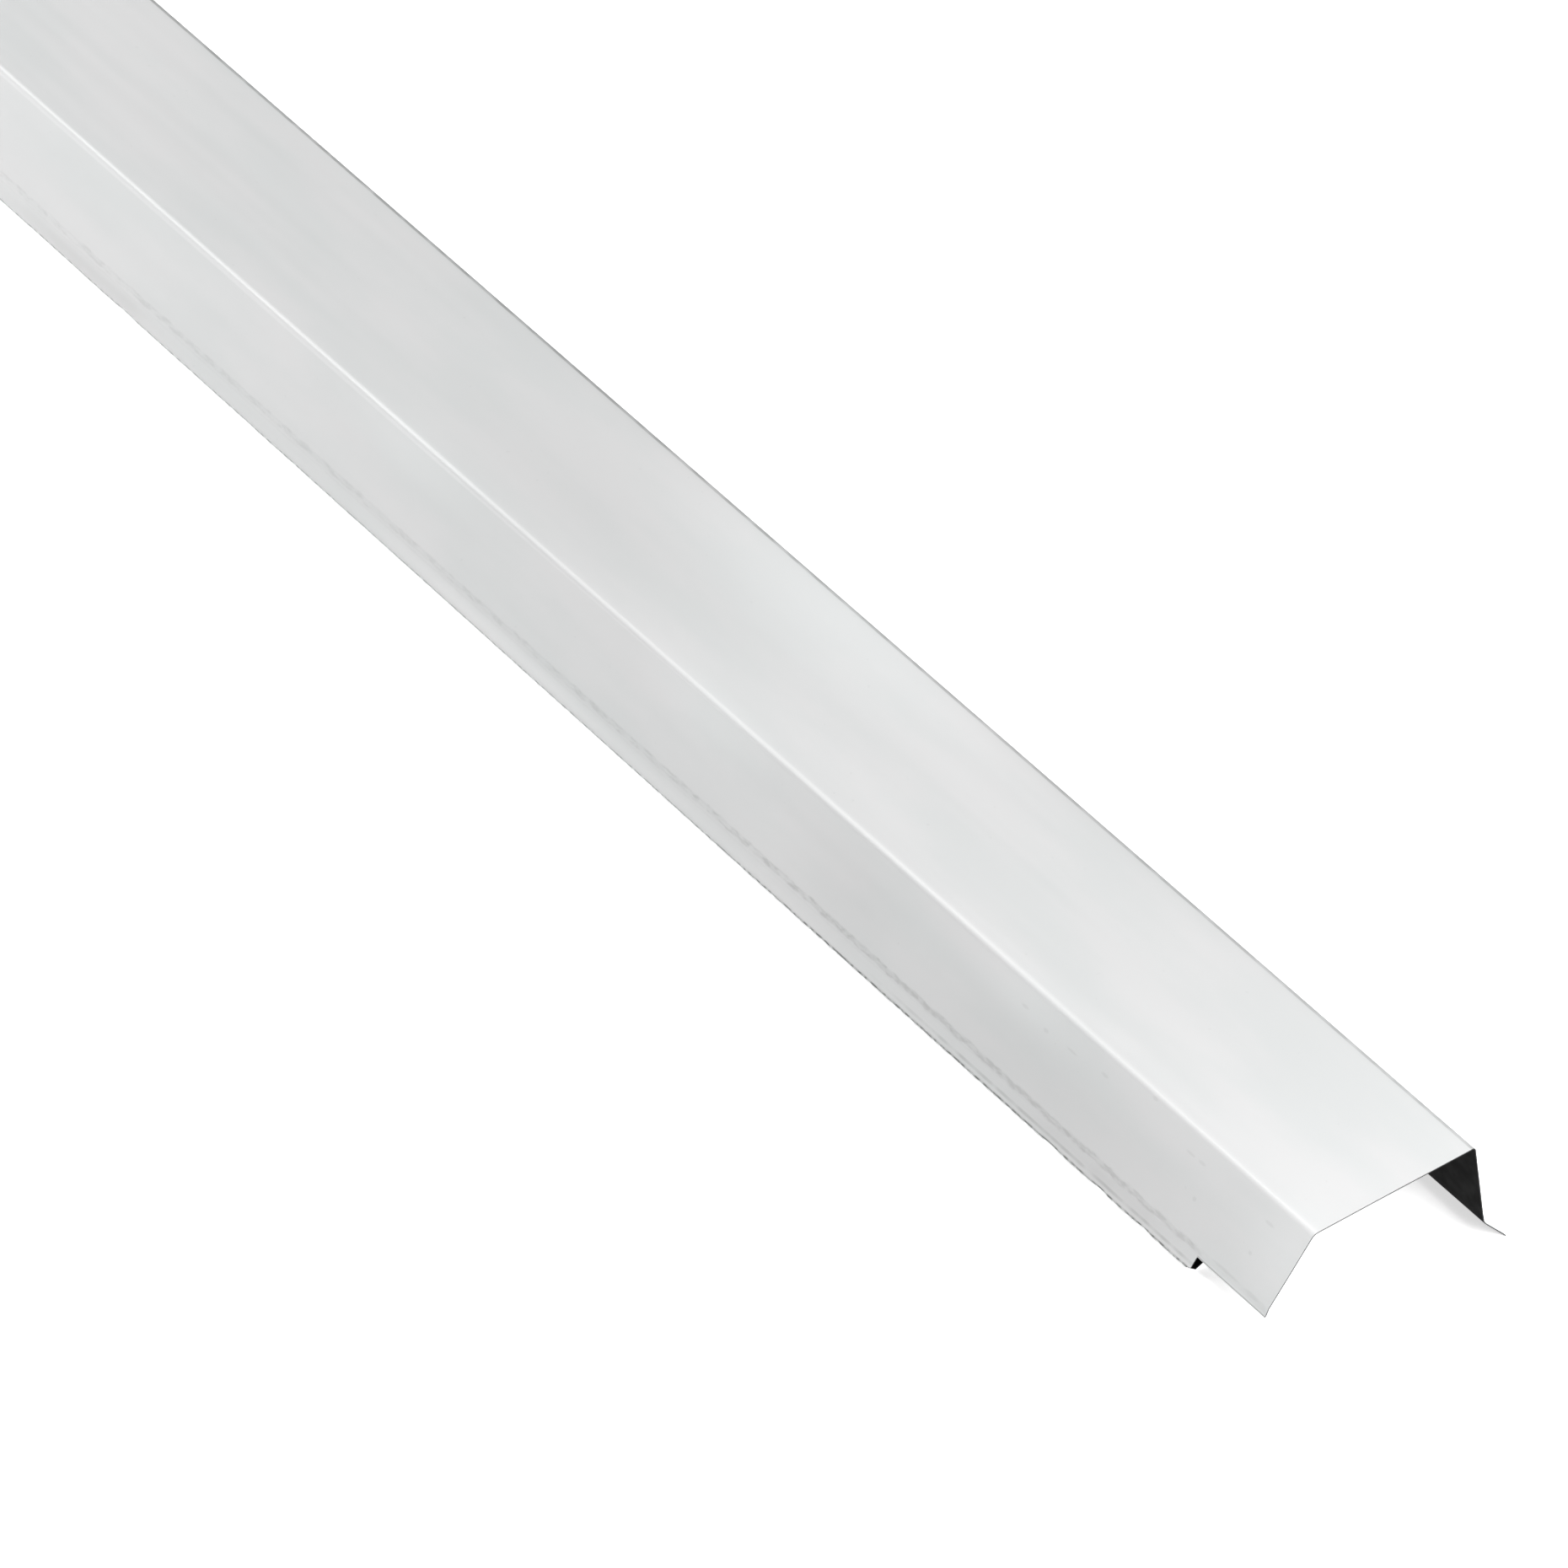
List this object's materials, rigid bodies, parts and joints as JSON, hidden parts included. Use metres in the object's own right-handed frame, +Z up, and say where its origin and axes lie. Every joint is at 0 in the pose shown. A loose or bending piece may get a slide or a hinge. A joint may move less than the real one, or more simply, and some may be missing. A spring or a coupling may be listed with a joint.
{
  "type": "roof edge trim",
  "caption": "Folded sheet-metal roof edge trim: hemmed sloping front, flat top, back leg with a turned-out foot, and a notched end that laps under the next length.",
  "frame": {"origin": "middle of the footprint, on the floor that the trim lies on", "axes": "+X along the length towards the notched lap end, +Y from the hemmed front to the back leg, +Z up"},
  "size_m": [2, 0.1538, 0.0645],
  "materials": {
    "coated_sheet": "semi-gloss white coil coating on the weather face, matt charcoal back coat inside, bare zinc on the cut edges"
  },
  "bodies": {
    "root": {"edge_trim": "coated_sheet"}
  },
  "joints": []
}
